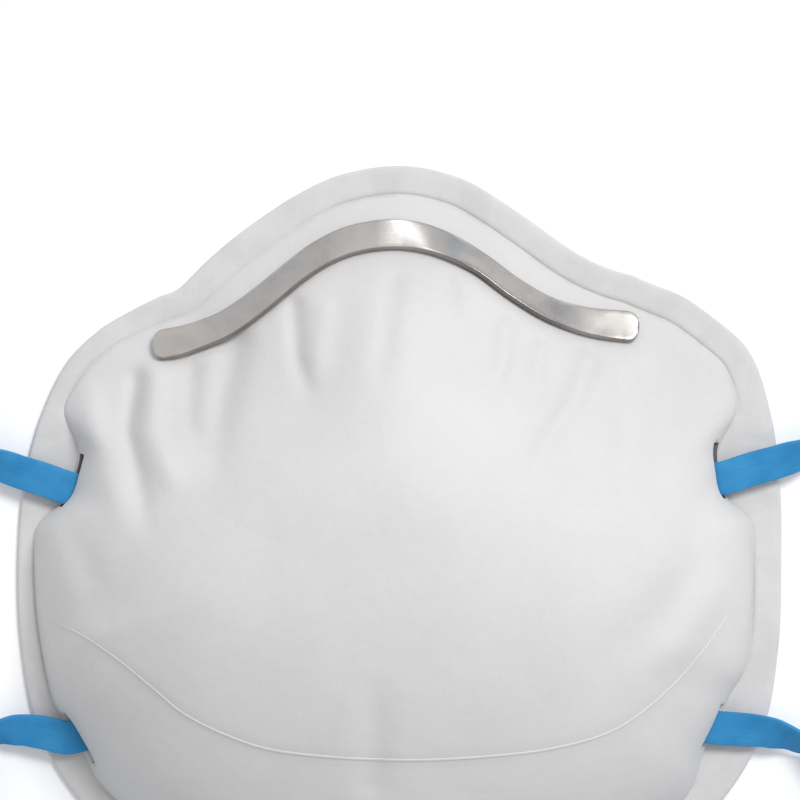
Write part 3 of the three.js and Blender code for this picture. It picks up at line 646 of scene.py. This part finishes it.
def felt_material():
    """White nonwoven: crossing fibres, soft clouding, a blotchy flange, and painted shade inside
    the slits where marked.
    """
    nodes = Nodes("white_felt")
    where = nodes.where()
    fibre_looks = dict(detail=4.0, roughness=0.6, distortion=1.2)
    fibre_a = nodes.streaks(where, scales=(1500, 260, 500), **fibre_looks)
    fibre_b = nodes.streaks(where, scales=(300, 1400, 500), **fibre_looks)
    fibres = nodes.math("MULTIPLY", nodes.math("ADD", fibre_a, fibre_b), 0.5)
    tone = nodes.ramp(nodes.noise(where, scale=55.0), FELT_TONES)
    felt = nodes.multiply(tone, nodes.ramp(fibres, greys((0.35, 0.965), (0.65, 1.0))))
    blotches = nodes.noise(where, scale=130.0, roughness=0.6, distortion=0.5)
    flange = nodes.math("LESS_THAN", nodes.part(where, "Z"), FLANGE_TOP * MM)
    blotchy = nodes.multiply(felt, nodes.ramp(blotches, FELT_BLOTCHES))
    felt = nodes.mix(flange, felt, blotchy)
    # the marked faces inside the upper slits are painted dark as shade
    cut = nodes.add("ShaderNodeAttribute", set_attribute_name="cut").outputs["Fac"]
    soft = nodes.bump(nodes.noise(where, scale=220.0, detail=2.0), depth=0.0004, strength=0.35)
    return nodes.finish(Base_Color=nodes.mix(cut, felt, FELT_SLIT_SHADE), Roughness=0.92,
                        Specular_IOR_Level=0.25, Sheen_Weight=0.12, Sheen_Roughness=0.6,
                        Normal=nodes.bump(fibres, depth=0.00008, strength=0.5, Normal=soft))


def seam_material():
    """The same felt welded flat, smoother, with a fine grain, and painted a little brighter as a
    highlight along its ridge.
    """
    nodes = Nodes("white_seam")
    grain = nodes.noise(nodes.where(), scale=900.0, roughness=0.6)
    return nodes.finish(Base_Color=nodes.ramp(grain, SEAM_HIGHLIGHT_TONES), Roughness=0.8,
                        Normal=nodes.bump(grain, depth=0.0001, strength=0.3))


def aluminium_material():
    """Soft rolled strip: lines along it, smudges, painted reflection and shade along it, long
    edges painted dark as shade, a worn spot.
    """
    nodes = Nodes("clip_aluminium")
    band, where = nodes.band(), nodes.where()
    lines = nodes.streaks(band, scales=(60, 5200, 1), roughness=0.6)
    smudge = nodes.noise(where, scale=160.0, detail=4.0, roughness=0.6, distortion=0.4)
    mottle = nodes.noise(where, scale=900.0, detail=4.0, roughness=0.65, distortion=0.6)
    away = nodes.math("DIVIDE", nodes.distance(where, placed(WORN_SPOT)), WORN_REACH * MM)
    worn = nodes.ramp(nodes.math("ADD", away, mottle), WORN_TONES)
    # painted reflection: the metal made brighter and darker from left to right along the clip
    from_left = nodes.math("ADD", nodes.part(where, "X"), PAINTED_REFLECTION_HALF * MM)
    painted_reflection = nodes.ramp(nodes.math("DIVIDE", from_left, 2 * PAINTED_REFLECTION_HALF * MM), greys(*PAINTED_REFLECTION_ROWS))
    side = nodes.math("ABSOLUTE", nodes.part(band, "Y"))
    # the long edges painted dark as shade
    edge = nodes.ramp(nodes.math("DIVIDE", side, CLIP_WIDTH / 2 * MM), METAL_EDGE_SHADE)
    metal = nodes.multiply(nodes.multiply(nodes.ramp(smudge, METAL_TONES), worn), painted_reflection)
    return nodes.finish(Base_Color=nodes.multiply(metal, edge), Metallic=1.0,
                        Roughness=nodes.ramp(smudge, greys((0.3, 0.30), (0.7, 0.22))),
                        Normal=nodes.bump(lines, depth=0.00003, strength=0.35))


def elastic_material():
    """Blue elastic band: matt and softly clouded, with faint lines along it."""
    nodes = Nodes("blue_elastic")
    lines = nodes.streaks(nodes.band(), scales=(90, 2600, 1), roughness=0.55)
    tone = nodes.ramp(nodes.noise(nodes.where(), scale=240.0), ELASTIC_TONES)
    fine = nodes.ramp(lines, greys((0.3, 0.90), (0.7, 1.0)))
    return nodes.finish(Base_Color=nodes.multiply(tone, fine), Roughness=0.6,
                        Specular_IOR_Level=0.2,
                        Normal=nodes.bump(lines, depth=0.00006, strength=0.4))


FELT = felt_material()
SEAM = seam_material()
ALUMINIUM = aluminium_material()
ELASTIC = elastic_material()


def finish_piece(obj, material, node):
    obj.data.materials.append(material)
    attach(obj, "root")
    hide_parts(node)


# ---- straps -------------------------------------------------------------------------------------

def with_tails(route, start, end):
    """The route with its tails inside the cup, along the way each slit faces."""
    def tail(point, turn):
        x, y = math.cos(math.radians(turn)), math.sin(math.radians(turn))
        return [(point[0] - x * inward, point[1] - y * inward, point[2] + up, point[3])
                for inward, up in TAIL_ROWS]
    return [*reversed(tail(route[0], start["turn"])), *route, *tail(route[-1], end["turn"])]


def make_strap(name, route, start, end):
    rows = with_tails(route, start, end)
    points, places = curve_points([r[:3] for r in rows], STRAP_SPACING)
    row = np.minimum(places.astype(int), len(rows) - 2)
    leans = np.array([r[3] for r in rows], float)
    share = smoothstep(places - row, 0, 1)
    lean = np.radians(leans[row] + (leans[row + 1] - leans[row]) * share)[:, None]
    along = unit(np.gradient(points, axis=0))
    side = unit(np.cross([0, 0, 1.0], along))
    up = unit(np.cross(along, side))
    across = side * np.cos(lean) + up * np.sin(lean)
    out = up * np.cos(lean) - side * np.sin(lean)
    line = placed(points)
    obj = band_object(name + "_band", line, across, out,
                      band_section(STRAP_WIDTH, STRAP_THICK, STRAP_CUTS, STRAP_EDGE),
                      np.ones(len(line)))
    finish_piece(obj, ELASTIC, name)


make_strap("strap_upper", UPPER_ROUTE, *UPPER_SLITS)
make_strap("strap_lower", LOWER_ROUTE, *LOWER_SLITS)


# ---- shell --------------------------------------------------------------------------------------

def line_depth(angle):
    """Depth of the pressed line, which is faint at the upper left and round each slit."""
    away = turn_between(angle, LINE_FAINT["at"]) / LINE_FAINT["spread"]
    depth = LINE_DEPTH * (1 - LINE_FAINT["by"] * np.exp(-(away ** 4)))
    for slit in SLITS:
        away = turn_between(angle, slit["pad_at"]) / (LINE_AT_SLITS["spread"] * slit["spread"])
        depth = depth * (1 - LINE_AT_SLITS["by"] * np.exp(-(away ** 4)))
    return depth


def ring_share(t):
    """Reach of a ring of the cup, as a share of the foot's."""
    return 1 - sum(part * t ** power for part, power in RING_SHARES)


def shell_rings():
    """Rings of points round the shell's outside and then its inside, and how many are outside."""
    angle = np.linspace(0, 2 * np.pi, AROUND, endpoint=False)
    angle = angle + NOSE_DENSE * np.cos(angle)
    foot, rim, line = foot_reach(angle), rim_reach(angle), line_depth(angle)
    edge, hollow = rim - EDGE_ROUND, foot - WALL

    def ring(reach, z):
        height = np.broadcast_to(z, reach.shape)
        return np.stack([reach * np.cos(angle), reach * np.sin(angle), height], -1)

    def outer(share):
        x, y = foot * share * np.cos(angle), foot * share * np.sin(angle)
        return np.stack([x, y, cup_height(x, y)], -1)

    def inner(share):
        points = outer(share)
        return points - WALL * normals(cup_height, points[:, 0], points[:, 1])

    rings = [ring(hollow, 0.0)]
    rings += [ring(hollow + (edge - hollow) * t, 0.0) for t in UNDER_RINGS]
    for a in EDGE_RINGS:
        middle = EDGE_ROUND if a < 0 else FLANGE_THICK - EDGE_ROUND
        out, up = math.cos(math.radians(a)), math.sin(math.radians(a))
        rings.append(ring(edge + EDGE_ROUND * out, middle + EDGE_ROUND * up))
    rings += [ring(edge + (foot - edge) * t, FLANGE_THICK) for t in TOP_RINGS]
    rings += [ring(foot + out, FLANGE_THICK - line * deep) for out, deep in LINE_ROWS]
    rings += [outer(ring_share(i / OUTER_RINGS)) for i in range(1, OUTER_RINGS)]
    outside = len(rings)
    rings += [inner(ring_share(i / INNER_RINGS))
              for i in reversed(range(INNER_LAST, INNER_RINGS))]
    return rings, outside


def make_shell():
    rings, outside = shell_rings()
    k = np.arange(AROUND)
    after = (k + 1) % AROUND
    faces = []
    for i in range(len(rings)):
        if i != outside - 1:
            a, b = i * AROUND, ((i + 1) % len(rings)) * AROUND
            faces += np.stack([a + k, a + after, b + after, b + k], -1).tolist()
    top = len(rings) * AROUND
    crest = float(cup_height(0.0, 0.0))
    vertices = np.concatenate([*rings, [[0, 0, crest], [0, 0, crest - WALL]]])
    a, b = (outside - 1) * AROUND, outside * AROUND
    faces += [(a + i, a + j, top) for i, j in zip(k.tolist(), after.tolist())]
    faces += [(b + j, b + i, top + 1) for i, j in zip(k.tolist(), after.tolist())]
    obj = new_object("shell_felt", placed(vertices), faces)
    cut_slits(obj)
    mark_slit_shade_faces(obj.data)
    finish_piece(obj, FELT, "shell")


def slit_middle(slit):
    return placed((slit["x"], slit["y"], SLIT_MIDDLE_Z))


def cut_slits(obj):
    cutter = bmesh.new()
    for slit in SLITS:
        place = Matrix.Translation(slit_middle(slit))
        turn = Matrix.Rotation(math.radians(slit["turn"]), 4, "Z")
        size = Matrix.Diagonal((2 * CUTTER_REACH * MM, slit["length"] * MM, SLIT_HEIGHT * MM, 1.0))
        bmesh.ops.create_cube(cutter, size=1.0, matrix=place @ turn @ size)
    mesh = bpy.data.meshes.new("slit_cutter")
    cutter.to_mesh(mesh)
    cutter.free()
    tool = bpy.data.objects.new("slit_cutter", mesh)
    bpy.context.scene.collection.objects.link(tool)
    modifier = obj.modifiers.new("slits", "BOOLEAN")
    modifier.object, modifier.operation, modifier.solver = tool, "DIFFERENCE", "EXACT"
    bpy.context.view_layer.update()
    cut = bpy.data.meshes.new_from_object(obj.evaluated_get(bpy.context.evaluated_depsgraph_get()))
    obj.modifiers.clear()
    obj.data = cut
    bpy.data.objects.remove(tool)
    bpy.data.meshes.remove(mesh)


def mark_slit_shade_faces(mesh):
    """Marks the faces inside the two upper slits, where the felt's material paints shade."""
    centres = np.zeros(len(mesh.polygons) * 3)
    mesh.polygons.foreach_get("center", centres)
    marks = np.zeros(len(mesh.polygons))
    for slit in UPPER_SLITS:
        x, y, up = ((centres.reshape(-1, 3) - slit_middle(slit)) / MM).T
        turn = math.radians(slit["turn"])
        through = x * math.cos(turn) + y * math.sin(turn)
        along = y * math.cos(turn) - x * math.sin(turn)
        marks[(np.abs(through) < CUTTER_REACH) & (np.abs(along) < slit["length"] / 2 + CUT_SLACK)
              & (np.abs(up) < SLIT_HEIGHT / 2 + CUT_SLACK)] = 1
    mesh.attributes.new("cut", "FLOAT", "FACE").data.foreach_set("value", marks)


make_shell()


# ---- seam ---------------------------------------------------------------------------------------

def line_on_felt(rows, spacing, height, lift):
    """A line over the felt, with the directions across it and out from the felt."""
    points, _ = curve_points([(x, y, 0) for x, y in rows], spacing)
    x, y = points[:, 0], points[:, 1]
    out = normals(height, x, y)
    points[:, 2] = height(x, y)
    points += out * lift
    along = unit(np.gradient(points, axis=0))
    across = unit(np.cross(out, along))
    return points, across, unit(np.cross(along, across))


def make_seam():
    points, across, out = line_on_felt(SEAM_ROWS, SEAM_SPACING, cup_height, 0)
    widths = np.ones(len(points))
    for thin, full, lost in SEAM_FADES:
        widths *= 1 - lost * (1 - smoothstep(points[:, 0], thin, full))
    section = band_section(SEAM_WIDTH, SEAM_THICK, SEAM_CUTS, SEAM_THICK / 2)
    obj = band_object("shell_seam", placed(points), across, out, section, widths)
    finish_piece(obj, SEAM, "shell")


make_seam()


# ---- nose clip ----------------------------------------------------------------------------------

def make_clip():
    rows = [(x, y) for x, y, _ in CLIP_ROWS]
    points, across, out = line_on_felt(rows, CLIP_SPACING, smooth_height,
                                       CLIP_CLEAR + CLIP_THICK / 2)
    from_start = travelled(points)
    from_end = np.minimum(from_start, from_start[-1] - from_start)
    corner = np.clip(1 - from_end / CLIP_END_ROUND, 0, 1)
    widths = 1 - (2 * CLIP_END_ROUND / CLIP_WIDTH) * (1 - np.sqrt(1 - corner ** 2))
    section = band_section(CLIP_WIDTH, CLIP_THICK, CLIP_CUTS, CLIP_EDGE)
    obj = band_object("nose_clip_strip", placed(points), across, out, section, widths)
    finish_piece(obj, ALUMINIUM, "nose_clip")


make_clip()


# ---- floor and light ----------------------------------------------------------------------------

def make_floor():
    corners = [(-1, -1), (1, -1), (1, 1), (-1, 1)]
    floor = new_object("floor", [(x * FLOOR_HALF, y * FLOOR_HALF, 0) for x, y in corners],
                       [(0, 1, 2, 3)])
    floor.data.materials.append(Nodes("pale_floor").finish(Base_Color=FLOOR_COLOUR, Roughness=0.9))
    floor.location.z = -FLOOR_DROP


def make_light(name, place, size, power, target):
    data = bpy.data.lights.new(name, "AREA")
    data.shape, data.energy = "ELLIPSE", power
    data.size, data.size_y = size
    lamp = bpy.data.objects.new(name, data)
    bpy.context.scene.collection.objects.link(lamp)
    lamp.location = place
    aim = Vector(target) - Vector(place)
    lamp.rotation_euler = aim.to_track_quat("-Z", "Y").to_euler()


def make_world():
    world = bpy.data.worlds.new("studio")
    world.use_nodes = True
    back = world.node_tree.nodes["Background"]
    back.inputs["Color"].default_value = (1.0, 1.0, 1.0, 1.0)
    back.inputs["Strength"].default_value = WORLD_STRENGTH
    bpy.context.scene.world = world


make_floor()
make_world()
for light in LIGHTS:
    make_light(**light)
bpy.context.scene.view_settings.view_transform = "Standard"
